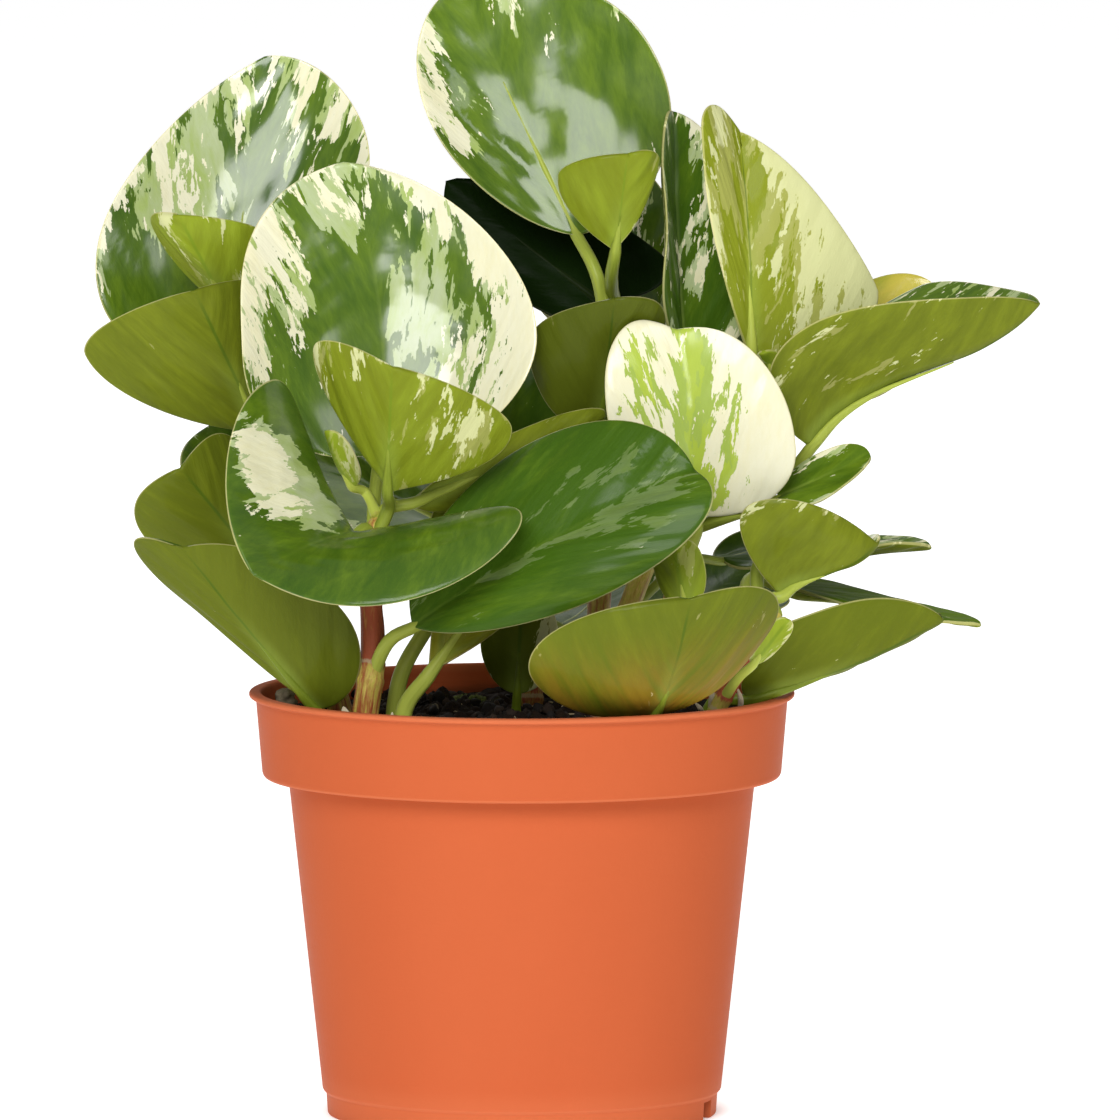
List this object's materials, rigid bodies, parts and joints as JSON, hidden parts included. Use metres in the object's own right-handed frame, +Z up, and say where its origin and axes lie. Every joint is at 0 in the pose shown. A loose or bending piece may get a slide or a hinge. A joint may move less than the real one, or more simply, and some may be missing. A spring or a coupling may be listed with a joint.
{
  "type": "potted peperomia",
  "caption": "Bushy variegated peperomia with thick glossy rounded leaves, in a plain terracotta-coloured plastic nursery pot filled with soil.",
  "frame": {"origin": "centre of the pot's underside, on the surface the pot stands on", "axes": "+Z up along the pot's axis, -Y towards the front view of the picture, +X to the right in it"},
  "size_m": [0.2087, 0.1497, 0.2484],
  "materials": {
    "pot": "satin",
    "soil": "matte",
    "stem": "satin",
    "green_leaf": "satin",
    "cream_leaf": "satin",
    "young_leaf": "satin"
  },
  "bodies": {
    "root": {"pot": "pot", "soil": "soil", "stem_front": "stem", "stem_left": "stem", "stem_top": "stem", "stem_right": "stem", "stem_middle": "stem", "stem_back": "stem", "stem_low": "stem", "leaf_left_back_big": "cream_leaf", "leaf_left_young": "young_leaf", "leaf_left_side": "green_leaf", "leaf_left_low": "green_leaf", "leaf_left_rim": "green_leaf", "leaf_front_back_big": "cream_leaf", "leaf_front_young": "young_leaf", "leaf_front_folded": "green_leaf", "leaf_front_bud": "young_leaf", "leaf_front_inner": "green_leaf", "leaf_front_dark": "green_leaf", "leaf_centre_low_back": "green_leaf", "leaf_centre_low_front": "green_leaf", "leaf_top_big": "green_leaf", "leaf_top_young": "young_leaf", "leaf_top_dark": "green_leaf", "leaf_top_folded": "cream_leaf", "leaf_top_front": "green_leaf", "leaf_right_upright": "cream_leaf", "leaf_right_long": "green_leaf", "leaf_right_yellow": "young_leaf", "leaf_right_bud": "young_leaf", "leaf_middle_cream": "cream_leaf", "leaf_middle_dark": "green_leaf", "leaf_middle_young": "young_leaf", "leaf_low_arched": "green_leaf", "leaf_low_behind": "green_leaf", "leaf_low_front": "green_leaf", "leaf_low_side": "green_leaf", "leaf_low_dark": "green_leaf", "leaf_low_young": "young_leaf", "leaf_soil_dark": "green_leaf", "leaf_back_left": "green_leaf", "leaf_back_top": "green_leaf", "leaf_back_right": "green_leaf", "leaf_back_upper": "green_leaf", "leaf_back_centre": "green_leaf", "leaf_back_lower": "green_leaf", "leaf_back_rim": "green_leaf", "leaf_back_low": "green_leaf", "leaf_back_left_rim": "green_leaf", "leaf_back_left_low": "green_leaf", "leaf_back_right_low": "green_leaf", "leaf_back_right_side": "green_leaf"}
  },
  "joints": []
}
